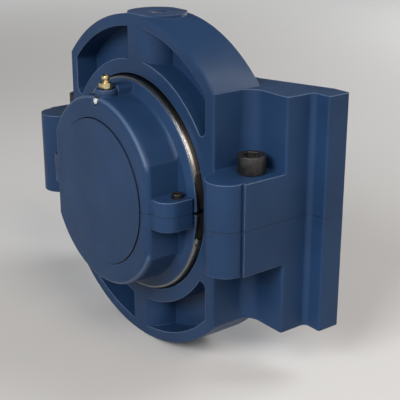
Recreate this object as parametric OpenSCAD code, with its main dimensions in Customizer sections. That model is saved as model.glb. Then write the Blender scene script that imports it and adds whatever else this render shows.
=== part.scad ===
// Split roller bearing in a split cast housing with two side guide lips.
// The bearing axis is Y, the front (closed end) faces -Y and +Z is up.
// The origin is the centre of the spherical seat, on the bearing axis.

/* [Shaft and rollers] */
// Radius of the shaft that the bearing takes
shaft_r = 50; // [46:1:52]
// Radius of one roller
roller_r = 8; // [6:0.5:8]
// Length of one roller
roller_len = 30; // [24:1:30]
// Number of rollers, even so that none lies across the joint
roller_count = 16; // [10:2:16]
// Wall of the inner ring under the rollers
inner_wall = 10; // [9:0.5:10]
// Wall of the outer ring over the rollers
outer_wall = 9; // [7:0.5:9]

/* [Cartridge] */
// Radius of the bare spherical seat
seat_r = 104.2; // [103.8:0.1:105]
// Radius of the housing's opening in front of and behind the seat
bore_r = 102.4; // [101.6:0.1:103]
// Half width of the spherical band
band_w = 30; // [28:0.5:30.5]
// Half width of the whole cartridge
cart_w = 68; // [66:1:72]
// Radius of the barrels at both ends
barrel_r = 88; // [86:0.5:89]
// Radius of the shoulder beside the band
shoulder_r = 98.2; // [96:0.2:99]
// Half width where the shoulder starts
shoulder_w = 31; // [30.5:0.5:32]
// Half width where the cone under the shoulder reaches the barrel
cone_w = 35; // [34.5:0.5:38]
// Rounding of the barrel's end edge
barrel_round = 6; // [3:0.5:7]
// Distance of the barrel's side flats from the axis
flat_x = 77; // [74:0.5:80]
// Half width where the side flats end
flat_w = 34; // [33:0.5:36]
// Distance of the sides of the screw ears from the axis
ear_x = 97; // [95:0.5:97.5]
// Distance of the ears behind the barrel's front end
ear_inset = 4.6; // [3:0.2:7]
// Corner radius of the ears
ear_round = 14; // [10:1:16]
// Height of one ear half above the joint
ear_h = 13.3; // [12:0.1:15]
// Distance of the ear screws from the axis
ear_screw_x = 87; // [86:0.1:88]
// Distance of the ear screws behind the barrel's front end
ear_screw_inset = 25.4; // [24:0.2:26]
// Radius of the closing disc
disc_r = 67.5; // [65:0.5:68]
// How far the disc stands out of the barrel's end
disc_proud = 1; // [0:0.2:1.5]

/* [Housing] */
// Outer radius of the arch
arch_r = 155; // [154:1:160]
// Half depth of the arch
arch_w = 25; // [24:0.5:26]
// Half width of the front body between its side planes
body_x = 114; // [113:0.5:116]
// Half height of the flanks
flank_z = 105; // [104:1:108]
// Half width of the block behind the body
block_x = 157; // [155:1:160]
// Half width across the guide lips
lip_x = 175; // [170:1:185]
// Front face of the block
block_y = 16.5; // [14:0.5:20]
// Front face of the guide lips
lip_y = 45; // [44:1:48]
// Radius of the big fillet between body and block
side_fillet = 13; // [8:1:14]
// Radius of the small fillet between block and lip
lip_fillet = 5; // [3:0.5:8]
// Half width of the floor of the rear recess
recess_x = 89; // [80:1:95]
// Rounding of the upright outer edges
edge_round = 2; // [1:0.5:3]

/* [Pockets and column] */
// Outer radius of the front pockets
pocket_out_r = 144.5; // [140:0.5:146]
// Inner radius of the front pockets
pocket_in_r = 115.5; // [113:0.5:120]
// Side wall of the pockets
pocket_x = 103; // [98:0.5:105]
// Lower wall of the upper pockets
pocket_z = 66.5; // [60:0.5:72]
// Depth of the pockets
pocket_depth = 23; // [15:1:26]
// Corner radius of the pockets
pocket_round = 6; // [3:0.5:7]
// Radius of the column between the pockets, and of its top pad
column_r = 27; // [26:0.5:30]
// Height of the pad's face above the axis
pad_z = 156; // [155.5:0.5:160]

/* [Lugs] */
// Distance of the lug's round nose from the axis
nose_x = 136; // [134:0.5:138]
// Place of the nose along the bearing axis
nose_y = -29; // [-32:0.5:-28]
// Radius of the nose
nose_r = 18.4; // [17:0.2:20]
// Half height of the lug
lug_z = 40.4; // [38:0.2:46]
// Distance of the housing screws from the axis
screw_x = 136; // [132:0.5:138]
// Place of the housing screws along the bearing axis
screw_y = -2.5; // [-5:0.5:2]

/* [Grease nipple] */
// Distance of the nipple behind the barrel's front end
nipple_inset = 12; // [10:0.5:13]
// Height of the boss under the nipple
boss_z = 93.5; // [92:0.5:95]
// Radius of the boss
boss_r = 10; // [8:0.5:11]
// Height of the block between boss and shoulder
block_z = 96; // [94:0.5:97]
// Half width of the block between boss and shoulder
boss_block_x = 8.5; // [7:0.5:9]

/* [Hidden] */
$fn = 96;
// reach of the cutting blocks, past every face
far = 400;
// overlap of cutters past the face that they open
eps = 1;

// Clearances
seat_gap = 0.05;
roller_gap = 0.03;
cage_gap = 0.2;
cage_joint = 0.2;
inner_joint = 0.25;
press_gap = 0.02;
disc_gap = 0.6;
hole_gap = 0.75;

// Rollers and rings, radii first and then half widths
inner_track_r = shaft_r + inner_wall;
pitch_r = inner_track_r + roller_gap + roller_r;
outer_track_r = pitch_r + roller_r + roller_gap;
outer_ring_r = outer_track_r + outer_wall;
roller_step = 360 / roller_count;
roller_bevel = 0.8;
roller_end_gap = 0.5;
lip_start_w = roller_len / 2 + roller_end_gap;
inner_lip_h = 3.8;
inner_lip_t = 3;
inner_lip_r = inner_track_r + inner_lip_h;
inner_lip_w = lip_start_w + inner_lip_t;
outer_lip_h = 3.5;
outer_lip_t = 5.5;
outer_lip_r = outer_track_r - outer_lip_h;
outer_ring_w = lip_start_w + outer_lip_t;
cage_wall = 3;
cage_rim = 4;
cage_in_r = pitch_r - cage_wall;
cage_out_r = pitch_r + cage_wall;
cage_w = roller_len / 2 + cage_gap + cage_rim;
clip_t = 0.9;
clip_z = 8;
clip_inset = 0.8;
journal_wall = 7;
clamp_wall = 13;
clamp_w = 11;
clamp_side_gap = 0.9;
journal_r = shaft_r + journal_wall;
clamp_out_r = journal_r + clamp_wall;
clamp_in_w = cage_w + clip_t + clamp_side_gap;
inner_ring_w = clamp_in_w + clamp_w;
clamp_screw_x = (journal_r + clamp_out_r) / 2;
clamp_seat_z = 12;

// Inside of the cartridge
ring_step = 3;
cavity_r = outer_ring_r - ring_step;
cavity_wall = 3;
cavity_w = flat_w - cavity_wall;
clamp_room = 3.5;
clamp_space_r = clamp_out_r + clamp_room;
clamp_space_w = inner_ring_w + clamp_room;
disc_ledge = 5.5;
disc_t = 8;
key_h = 3;
key_t = 3.5;
throat_r = disc_r - disc_ledge;
recess_w = cart_w - disc_t;
key_r = disc_r + key_h;
key_w = recess_w + key_t;
shaft_room = 12;
seal_ledge = 5.5;
rear_throat_r = shaft_r + shaft_room;
seal_r = rear_throat_r + seal_ledge;
seal_key_r = seal_r + key_h;
seal_gap = 0.8;
seal_bore_r = shaft_r + seal_gap;
felt_h = 7;
felt_w = 4;
felt_gap = 0.3;
felt_r = shaft_r + felt_h;
felt_bore_r = shaft_r + felt_gap;
relief_x = 95;
relief_up_z = 33;
relief_low_z = 25;
pry_x = 87;
pry_h = 2.6;
pry_start_w = 16;
pry_end_w = 34;

// Screws, as head radius, head height, shank radius and socket width
m16_head_r = 12;
m16_head_h = 16;
m16_r = 8;
m16_len = 70;
m16_socket = 14;
m6_head_r = 5;
m6_head_h = 6;
m6_r = 3;
m6_len = 22;
m6_socket = 5;
m5_head_r = 4.25;
m5_head_h = 5;
m5_r = 2.5;
m5_len = 24;
m5_socket = 4;
screw_edge = 0.06;
socket_share = 0.5;
ear_y = ear_inset - cart_w;
ear_screw_y = ear_screw_inset - cart_w;
ear_spot = 2;
ear_spot_z = ear_h - ear_spot;
ear_root = 2;
m16_tail_gap = 4;
m5_tail_gap = 2;

// Dowels, lifting hole and nipple
dowel_r = 6;
dowel_z = 15;
cart_dowel_r = 3;
cart_dowel_z = 8;
cart_dowel_x = 90;
lift_hole_r = 7;
lift_depth = 30;
lift_sink_r = 9;
pad_root = 20;
nipple_thread_r = 4.3;
nipple_depth = 7;
nipple_hex = 11;
nipple_hex_z = 1.2;
nipple_hex_h = 4.5;
nipple_collar_r = 3.2;
nipple_collar_z = 7;
nipple_cone = 0.8;
nipple_neck_r = 2.3;
nipple_ball_r = 3.3;
nipple_ball_z = 10.8;
nipple_top = 13.2;
nipple_bore_r = 1;
nipple_y = nipple_inset - cart_w;
boss_root = 8;
boss_step = 2;
boss_rim = 0.5;
block_round = 3;
hex_room = 1.5;
gallery_share = 0.77;
gallery_z = key_r + gallery_share * (barrel_r - key_r);
gallery_r = 2.5;
plug_r = 3;
plug_len = 6;
plug_socket_r = 1.5;
plug_socket = 2;
plug_spot_r = 5;
plug_spot = 2.4;

// Points (radius, half width) of the cartridge's outside, without the band and its fillets.
cone_fillet = 4;
cart_outline = [
    [0, -cart_w], [barrel_r, -cart_w], [barrel_r, -cone_w], [shoulder_r, -shoulder_w],
    [shoulder_r, shoulder_w], [barrel_r, cone_w], [barrel_r, cart_w], [0, cart_w]
];

// Housing details
web_x = 60;
back_y = cart_w;
rim_round = 1.5;
nose_fillet = 4;
crease_r = 1.1;
crease_x = nose_x + nose_r + crease_r / 4;
crease_y = nose_y + 2;

// Points (X, Y) of one flank seen from above, without its fillets and rounded edges.
flank_outline = [
    [web_x, -arch_w], [body_x, -arch_w], [body_x, block_y], [block_x, block_y], [block_x, lip_y],
    [lip_x, lip_y], [lip_x, back_y], [block_x, back_y], [recess_x, lip_y], [web_x, lip_y]
];

// Stands a shape that was drawn along Z on the bearing axis, with its Z along +Y.
module along_y() {
    rotate([-90, 0, 0]) children();
}

// A plain cylinder on the bearing axis from w0 to w1.
module drum(r, w0, w1) {
    along_y() translate([0, 0, w0]) cylinder(r = r, h = w1 - w0);
}

// A tube on the bearing axis from w0 to w1.
module tube(r_in, r_out, w0, w1) {
    difference() {
        drum(r_out, w0, w1);
        drum(r_in, w0 - eps, w1 + eps);
    }
}

// Keeps what lies above the joint (side 1) or below it (side -1), set back by gap.
module half(side, gap = 0) {
    intersection() {
        children();
        translate([-far, -far, side > 0 ? gap : -2 * far - gap]) cube(2 * far);
    }
}

// Repeats a shape on the right and, mirrored, on the left.
module both_sides() {
    children();
    mirror([1, 0, 0]) children();
}

// Repeats a shape at the front and, mirrored, at the rear.
module both_ends() {
    children();
    mirror([0, 1, 0]) children();
}

// A vertical cylinder from z0 to z1.
module post(x, y, r, z0, z1) {
    translate([x, y, z0]) cylinder(r = r, h = z1 - z0);
}

// Socket head cap screw, its head resting at z = seat, pointing down.
module cap_screw(x, y, seat, head_r, head_h, shank_r, len, socket) {
    edge = head_h * screw_edge;
    translate([x, y, seat]) difference() {
        union() {
            cylinder(r = head_r, h = head_h - edge);
            translate([0, 0, head_h - edge]) cylinder(r1 = head_r, r2 = head_r - edge, h = edge);
            translate([0, 0, -len]) cylinder(r = shank_r, h = len + eps);
        }
        translate([0, 0, head_h * socket_share]) cylinder(d = socket / cos(30), h = head_h, $fn = 6);
    }
}

// Cutter that rounds the upright edge at (x, y) of a body that lies to its left and behind it.
module edge_cut(x, y, r = edge_round) {
    translate([0, 0, -far]) linear_extrude(2 * far) difference() {
        translate([x - r, y - eps]) square(r + eps);
        translate([x - r, y + r]) circle(r);
    }
}

// Flank plan as a solid, with its two fillets and its rounded edges.
module flank() {
    r1 = side_fillet;
    r2 = lip_fillet;
    difference() {
        translate([0, 0, -flank_z]) linear_extrude(2 * flank_z) polygon(flank_outline);
        edge_cut(block_x, block_y);
        edge_cut(lip_x, lip_y);
        mirror([0, 1, 0]) edge_cut(lip_x, -back_y);
    }
    translate([0, 0, -flank_z]) linear_extrude(2 * flank_z) difference() {
        translate([body_x - eps, block_y - r1]) square([r1 + eps, r1 + eps]);
        translate([body_x + r1, block_y - r1]) circle(r1);
    }
    translate([0, 0, -flank_z]) linear_extrude(2 * flank_z) difference() {
        translate([block_x - eps, lip_y - r2]) square([r2 + eps, r2 + eps]);
        translate([block_x + r2, lip_y - r2]) circle(r2);
    }
}

// Lug of both halves: round nose, its fillet to the body's front, and the crease behind its outer side.
module lug() {
    r = nose_fillet;
    root_x = nose_x - sqrt(pow(nose_r + r, 2) - pow(nose_y + arch_w + r, 2));
    root = [root_x, -arch_w - r];
    difference() {
        union() {
            post(nose_x, nose_y, nose_r, -lug_z, lug_z);
            translate([nose_x, crease_y, -lug_z])
                cube([block_x - nose_x, block_y - crease_y + 2 * edge_round, 2 * lug_z]);
            translate([body_x - 2 * edge_round, -arch_w, -lug_z])
                cube([block_x - body_x, block_y + arch_w + eps, 2 * lug_z]);
            translate([0, 0, -lug_z]) linear_extrude(2 * lug_z) difference() {
                polygon([[root_x, eps - arch_w], root, [nose_x, nose_y], [nose_x, eps - arch_w]]);
                translate(root) circle(r);
            }
        }
        post(crease_x, crease_y, crease_r, -far, far);
    }
}

// Outline (X, Z) of the upper right front pocket, before the column takes its share.
module pocket_outline() {
    r = pocket_round;
    top_c = [pocket_x - r, sqrt(pow(pocket_out_r - r, 2) - pow(pocket_x - r, 2))];
    top_t = top_c * (pocket_out_r + eps) / (pocket_out_r - r);
    low_c = [pocket_x - r, pocket_z + r];
    difference() {
        intersection() {
            circle(pocket_out_r);
            translate([0, pocket_z]) square([pocket_x, far]);
        }
        circle(pocket_in_r);
        difference() {
            polygon([top_c, top_t, [pocket_x + eps, top_t[1]], [pocket_x + eps, top_c[1]]]);
            translate(top_c) circle(r);
        }
        difference() {
            translate([low_c[0], pocket_z - eps]) square([r + eps, r + eps]);
            translate(low_c) circle(r);
        }
    }
}

// Cutter for one front pocket: upper right as drawn.
module pocket() {
    difference() {
        translate([0, -arch_w + pocket_depth, 0]) rotate([90, 0, 0])
            linear_extrude(pocket_depth + eps) pocket_outline();
        post(0, 0, column_r, 0, far);
    }
}

// Round arch with its two rounded rims.
module arch() {
    c = arch_r - rim_round;
    difference() {
        drum(arch_r, -arch_w, arch_w);
        both_ends() along_y() rotate_extrude() difference() {
            translate([c, arch_w - rim_round]) square(rim_round + eps);
            translate([c, arch_w - rim_round]) circle(rim_round);
        }
    }
}

// Housing before it is split.
module housing() {
    difference() {
        union() {
            difference() {
                union() {
                    intersection() {
                        arch();
                        cube([2 * body_x, 2 * far, 2 * far], center = true);
                    }
                    both_sides() flank();
                }
                both_sides() edge_cut(body_x, -arch_w);
            }
            both_sides() lug();
            intersection() {
                post(0, 0, column_r, arch_r - pad_root, pad_z);
                cube([2 * far, 2 * arch_w, 2 * far], center = true);
            }
        }
        both_sides() {
            pocket();
            mirror([0, 0, 1]) pocket();
            post(screw_x, screw_y, m16_r + hole_gap, 0, far);
            post(screw_x, screw_y, m16_r + press_gap, lug_z - m16_len - m16_tail_gap, eps);
            post(nose_x, nose_y, dowel_r + press_gap, -dowel_z - 1, dowel_z + 1);
        }
        sphere(seat_r + seat_gap, $fn = 128);
        drum(bore_r, -far, far);
        post(0, 0, lift_hole_r, pad_z - lift_depth, far);
        translate([0, 0, pad_z - (lift_sink_r - lift_hole_r)])
            cylinder(r1 = lift_hole_r, r2 = lift_sink_r + eps, h = lift_sink_r - lift_hole_r + eps);
    }
}

module housing_cap() {
    color("steelblue") half(1) housing();
}

module housing_base() {
    color("steelblue") half(-1) housing();
}

module housing_screws() {
    color([0.09, 0.09, 0.1]) both_sides()
        cap_screw(screw_x, screw_y, lug_z, m16_head_r, m16_head_h, m16_r, m16_len, m16_socket);
}

module housing_dowels() {
    color("silver") both_sides() post(nose_x, nose_y, dowel_r, -dowel_z, dowel_z);
}

// Ear block on the right of the front barrel, both halves.
module ear() {
    x = flat_x - ear_root;
    difference() {
        translate([x, ear_y, -ear_h]) cube([ear_x - x, -flat_w - ear_y, 2 * ear_h]);
        edge_cut(ear_x, ear_y, ear_round);
    }
}

// Fillet at the foot of the rear cone.
module cone_foot() {
    r = cone_fillet;
    foot = [barrel_r, cone_w];
    rise = [shoulder_r, shoulder_w] - foot;
    cone_dir = rise / norm(rise);
    reach = r / tan(acos(cone_dir[1]) / 2);
    start = foot + [0, reach];
    centre = start + [r, 0];
    end = foot + reach * cone_dir;
    inward = [eps, 0];
    along_y() rotate_extrude() difference() {
        polygon([start, centre, end, end - inward, foot - inward, start - inward]);
        translate(centre) circle(r);
    }
}

// Outside of the cartridge: barrels with rounded ends, shoulders, band, ears and flats.
module cartridge_body() {
    c = barrel_r - barrel_round;
    intersection() {
        union() {
            difference() {
                union() {
                    along_y() rotate_extrude() polygon(cart_outline);
                    both_ends() cone_foot();
                }
                both_ends() along_y() rotate_extrude() difference() {
                    translate([c, cart_w - barrel_round]) square(barrel_round + eps);
                    translate([c, cart_w - barrel_round]) circle(barrel_round);
                }
                both_ends() both_sides() {
                    translate([flat_x, -far, -far]) cube([far, far - flat_w, 2 * far]);
                    edge_cut(flat_x, -cart_w, barrel_round);
                }
            }
            intersection() {
                sphere(seat_r, $fn = 128);
                drum(seat_r + eps, -band_w, band_w);
            }
            both_ends() both_sides() ear();
        }
        drum(seat_r + eps, -cart_w, cart_w);
    }
}

// Relief that stops the band short of the joint on both sides.
module band_relief() {
    both_sides() translate([relief_x, -band_w, -relief_low_z])
        cube([far, 2 * band_w, relief_low_z + relief_up_z]);
}

// Stepped boss under the nipple, and the round-edged block that joins it to the shoulder.
module nipple_boss() {
    root = barrel_r - boss_root;
    x = boss_block_x - block_round;
    y = nipple_y + nipple_hex / 2 + hex_room;
    z = block_z - block_round;
    intersection() {
        union() {
            post(0, nipple_y, boss_r, root, boss_z - boss_step);
            post(0, nipple_y, boss_r - boss_rim, root, boss_z);
            translate([-boss_block_x, y, root]) cube([2 * boss_block_x, -shoulder_w - y, z - root]);
            translate([-x, y, root]) cube([2 * x, -shoulder_w - y, block_z - root]);
            both_sides() translate([x, 0, z]) drum(block_round, y, -shoulder_w);
        }
        drum(far, -cart_w, 0);
    }
}

// Hollow of the cartridge: ring seat, cavity, throats and the grooves of the two ends.
module cartridge_hollow() {
    drum(outer_ring_r + press_gap, -outer_ring_w, outer_ring_w);
    drum(cavity_r, -cavity_w, cavity_w);
    drum(clamp_space_r, -clamp_space_w, clamp_space_w);
    drum(throat_r, -far, 0);
    drum(disc_r + disc_gap, -far, -recess_w);
    drum(key_r + press_gap, -key_w, -recess_w);
    drum(rear_throat_r, 0, far);
    drum(seal_r + disc_gap, recess_w, far);
    drum(seal_key_r + press_gap, recess_w, key_w);
}

// Cartridge before it is split.
module cartridge() {
    difference() {
        union() {
            cartridge_body();
            nipple_boss();
        }
        band_relief();
        cartridge_hollow();
        both_ends() both_sides() {
            post(ear_screw_x, ear_screw_y, m6_r + hole_gap / 2, 0, far);
            post(ear_screw_x, ear_screw_y, m6_r + press_gap, -ear_h - eps, eps);
            post(ear_screw_x, ear_screw_y, m6_head_r + hole_gap / 2, ear_spot_z, far);
        }
        both_sides() post(cart_dowel_x, 0, cart_dowel_r + press_gap, -cart_dowel_z - 1, cart_dowel_z + 1);
        post(0, nipple_y, nipple_thread_r + press_gap, gallery_z, far);
        translate([0, 0, gallery_z]) drum(gallery_r, -cart_w, -cavity_w + eps);
        translate([0, 0, gallery_z]) drum(plug_r + press_gap, -cart_w - eps, -cart_w + plug_len);
        translate([0, 0, gallery_z]) drum(plug_spot_r, -cart_w - eps, -cart_w + plug_spot);
    }
}

module cartridge_top() {
    color("steelblue") half(1) cartridge();
}

// The lower half has a notch at the joint on both sides, to pry the halves apart.
module cartridge_bottom() {
    color("steelblue") difference() {
        half(-1) cartridge();
        both_sides() translate([pry_x, -pry_end_w, -pry_h]) cube([far, pry_end_w - pry_start_w, pry_h + eps]);
    }
}

module cartridge_screws() {
    color([0.09, 0.09, 0.1]) both_ends() both_sides()
        cap_screw(ear_screw_x, ear_screw_y, ear_spot_z, m6_head_r, m6_head_h, m6_r, m6_len, m6_socket);
}

module cartridge_dowels() {
    color("silver") both_sides() post(cart_dowel_x, 0, cart_dowel_r, -cart_dowel_z, cart_dowel_z);
}

// Disc that closes the front, held by a key rim in the cartridge's groove.
module end_disc() {
    color("steelblue") {
        drum(disc_r, -cart_w - disc_proud, -recess_w - press_gap);
        drum(key_r, -key_w + press_gap, -recess_w - press_gap);
    }
}

module gallery_plug() {
    color("silver") translate([0, 0, gallery_z]) difference() {
        drum(plug_r, -cart_w, -cart_w + plug_len);
        drum(plug_socket_r, -cart_w - eps, -cart_w + plug_socket);
    }
}

// Grease nipple: thread, hexagon, neck, ball head and the bore through them.
module grease_nipple() {
    color("gold") translate([0, nipple_y, boss_z]) difference() {
        union() {
            translate([0, 0, -nipple_depth]) cylinder(r = nipple_thread_r, h = nipple_depth + eps);
            cylinder(r = nipple_thread_r, h = nipple_hex_z + eps);
            translate([0, 0, nipple_hex_z]) cylinder(d = nipple_hex / cos(30), h = nipple_hex_h, $fn = 6);
            cylinder(r = nipple_collar_r, h = nipple_collar_z, $fn = 48);
            translate([0, 0, nipple_collar_z])
                cylinder(r1 = nipple_collar_r, r2 = nipple_neck_r, h = nipple_cone, $fn = 48);
            cylinder(r = nipple_neck_r, h = nipple_ball_z, $fn = 48);
            intersection() {
                translate([0, 0, nipple_ball_z]) sphere(nipple_ball_r, $fn = 48);
                cylinder(r = nipple_hex, h = nipple_top);
            }
        }
        translate([0, 0, -far]) cylinder(r = nipple_bore_r, h = 2 * far, $fn = 32);
    }
}

// Outer ring with its two lips, before it is split.
module outer_ring() {
    difference() {
        drum(outer_ring_r, -outer_ring_w + press_gap, outer_ring_w - press_gap);
        drum(outer_lip_r, -far, far);
        drum(outer_track_r, -lip_start_w, lip_start_w);
    }
}

module outer_ring_top() {
    color("lightgray") half(1, press_gap) outer_ring();
}

module outer_ring_bottom() {
    color("lightgray") half(-1, press_gap) outer_ring();
}

// Inner ring with its track, two lips and the journals of the clamp rings.
module inner_ring() {
    difference() {
        union() {
            drum(inner_track_r, -lip_start_w - eps, lip_start_w + eps);
            drum(journal_r, -inner_ring_w, inner_ring_w);
            both_ends() drum(inner_lip_r, -inner_lip_w, -lip_start_w);
        }
        drum(shaft_r, -far, far);
    }
}

module inner_ring_top() {
    color("lightgray") half(1, inner_joint) inner_ring();
}

module inner_ring_bottom() {
    color("lightgray") half(-1, inner_joint) inner_ring();
}

// Clamp ring of the front end, with its screw holes and head pockets.
module clamp_ring() {
    y = -(clamp_in_w + inner_ring_w) / 2;
    difference() {
        tube(journal_r + press_gap, clamp_out_r, -inner_ring_w, -clamp_in_w);
        both_sides() {
            post(clamp_screw_x, y, m5_head_r + hole_gap / 2, clamp_seat_z, far);
            post(clamp_screw_x, y, m5_r + hole_gap / 3, 0, far);
            post(clamp_screw_x, y, m5_r + press_gap, clamp_seat_z - m5_len - m5_tail_gap, eps);
        }
    }
}

module front_clamp_top() {
    color("silver") half(1, inner_joint) clamp_ring();
}

module front_clamp_bottom() {
    color("silver") half(-1, inner_joint) clamp_ring();
}

module rear_clamp_top() {
    color("silver") half(1, inner_joint) mirror([0, 1, 0]) clamp_ring();
}

module rear_clamp_bottom() {
    color("silver") half(-1, inner_joint) mirror([0, 1, 0]) clamp_ring();
}

module clamp_screws() {
    y = -(clamp_in_w + inner_ring_w) / 2;
    color([0.09, 0.09, 0.1]) both_ends() both_sides()
        cap_screw(clamp_screw_x, y, clamp_seat_z, m5_head_r, m5_head_h, m5_r, m5_len, m5_socket);
}

// Places a shape at roller number i, counted from the right joint upwards.
module at_roller(i) {
    a = roller_step * (i - 0.5);
    translate([pitch_r * cos(a), 0, pitch_r * sin(a)]) children();
}

// Cage with one pocket for each roller, before it is split.
module cage() {
    w = roller_len / 2 + cage_gap;
    difference() {
        tube(cage_in_r, cage_out_r, -cage_w, cage_w);
        for (i = [1 : roller_count]) at_roller(i) drum(roller_r + cage_gap, -w, w);
    }
}

module cage_top() {
    color("goldenrod") half(1, cage_joint) cage();
}

module cage_bottom() {
    color("goldenrod") half(-1, cage_joint) cage();
}

// Four flat clips that tie the cage halves together, on both faces at both joints.
module cage_clips() {
    color("silver") both_ends() both_sides()
        translate([cage_in_r + clip_inset, -cage_w - clip_t, -clip_z])
            cube([cage_out_r - cage_in_r - 2 * clip_inset, clip_t, 2 * clip_z]);
}

// Rear seal carrier, before it is split, with its key rim and felt groove.
module rear_seal() {
    mid = (recess_w + cart_w) / 2;
    difference() {
        union() {
            drum(seal_r, recess_w + press_gap, cart_w);
            drum(seal_key_r, recess_w + press_gap, key_w - press_gap);
        }
        drum(seal_bore_r, 0, far);
        drum(felt_r, mid - felt_w / 2, mid + felt_w / 2);
    }
}

module rear_seal_top() {
    color("silver") half(1, press_gap) rear_seal();
}

module rear_seal_bottom() {
    color("silver") half(-1, press_gap) rear_seal();
}

// Two felt strips in the rear seal's groove.
module seal_felts() {
    mid = (recess_w + cart_w) / 2;
    w = felt_w / 2 - press_gap;
    color("tan") for (side = [-1, 1])
        half(side, cage_joint) tube(felt_bore_r, felt_r - press_gap, mid - w, mid + w);
}

// One roller with small edge bevels.
module roller(i) {
    bevel = roller_bevel;
    w = roller_len / 2;
    color("lightgray") at_roller(i) along_y() {
        translate([0, 0, bevel - w]) cylinder(r = roller_r, h = roller_len - 2 * bevel, $fn = 48);
        translate([0, 0, -w]) cylinder(r1 = roller_r - bevel, r2 = roller_r, h = bevel, $fn = 48);
        translate([0, 0, w - bevel]) cylinder(r1 = roller_r, r2 = roller_r - bevel, h = bevel, $fn = 48);
    }
}

housing_cap();
housing_base();
housing_screws();
housing_dowels();
cartridge_top();
cartridge_bottom();
cartridge_screws();
cartridge_dowels();
end_disc();
gallery_plug();
grease_nipple();
outer_ring_top();
outer_ring_bottom();
inner_ring_top();
inner_ring_bottom();
front_clamp_top();
front_clamp_bottom();
rear_clamp_top();
rear_clamp_bottom();
clamp_screws();
cage_top();
cage_bottom();
cage_clips();
rear_seal_top();
rear_seal_bottom();
seal_felts();
roller(1);  // roller_01
roller(2);  // roller_02
roller(3);  // roller_03
roller(4);  // roller_04
roller(5);  // roller_05
roller(6);  // roller_06
roller(7);  // roller_07
roller(8);  // roller_08
roller(9);  // roller_09
roller(10);  // roller_10
roller(11);  // roller_11
roller(12);  // roller_12
roller(13);  // roller_13
roller(14);  // roller_14
roller(15);  // roller_15
roller(16);  // roller_16
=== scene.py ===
"""Split roller bearing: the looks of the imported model, laid out as an add-on."""

import math

import bmesh
import bpy
from mathutils import Matrix, Vector


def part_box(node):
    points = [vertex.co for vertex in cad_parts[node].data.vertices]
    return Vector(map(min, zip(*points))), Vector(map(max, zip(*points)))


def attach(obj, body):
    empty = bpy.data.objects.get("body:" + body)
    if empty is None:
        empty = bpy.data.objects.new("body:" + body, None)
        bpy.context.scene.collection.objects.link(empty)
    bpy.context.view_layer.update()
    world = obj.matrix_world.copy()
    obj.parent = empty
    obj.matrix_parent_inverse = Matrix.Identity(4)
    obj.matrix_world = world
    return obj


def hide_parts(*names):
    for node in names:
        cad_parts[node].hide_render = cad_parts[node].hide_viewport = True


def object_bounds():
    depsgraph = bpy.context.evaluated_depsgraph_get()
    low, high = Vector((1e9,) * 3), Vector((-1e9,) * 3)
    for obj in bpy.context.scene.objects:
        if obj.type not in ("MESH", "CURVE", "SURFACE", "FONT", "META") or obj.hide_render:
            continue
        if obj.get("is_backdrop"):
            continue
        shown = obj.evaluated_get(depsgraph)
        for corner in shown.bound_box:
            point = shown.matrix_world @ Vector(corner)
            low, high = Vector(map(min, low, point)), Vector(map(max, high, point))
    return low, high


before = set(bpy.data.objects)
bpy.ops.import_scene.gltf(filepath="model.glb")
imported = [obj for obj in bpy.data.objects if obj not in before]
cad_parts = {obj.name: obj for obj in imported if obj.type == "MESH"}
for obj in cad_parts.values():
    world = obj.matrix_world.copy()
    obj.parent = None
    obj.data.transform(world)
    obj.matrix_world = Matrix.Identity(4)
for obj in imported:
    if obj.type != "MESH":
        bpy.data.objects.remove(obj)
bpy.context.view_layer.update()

bl_info = {
    "name": "Split roller bearing",
    "version": (1, 0, 0),
    "blender": (4, 5, 0),
    "location": "View3D > Sidebar > Bearing",
    "description": "Finishes a split roller bearing unit and sets it on a plain stage",
    "category": "Object",
}

MM = 0.001
FLOAT, VECTOR = "NodeSocketFloat", "NodeSocketVector"

HOUSING_NODES = ("housing_cap", "housing_base")
CARTRIDGE_NODES = ("cartridge_top", "cartridge_bottom")
GROUND_NODES = (
    "outer_ring_top", "outer_ring_bottom", "inner_ring_top", "inner_ring_bottom",
    "housing_dowels", "cartridge_dowels",
)
TURNED_NODES = (
    "front_clamp_top", "front_clamp_bottom", "rear_clamp_top", "rear_clamp_bottom",
    "rear_seal_top", "rear_seal_bottom", "cage_clips",
)
CAGE_NODES = ("cage_top", "cage_bottom")


# Sizes and colours that a user would change

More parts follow.
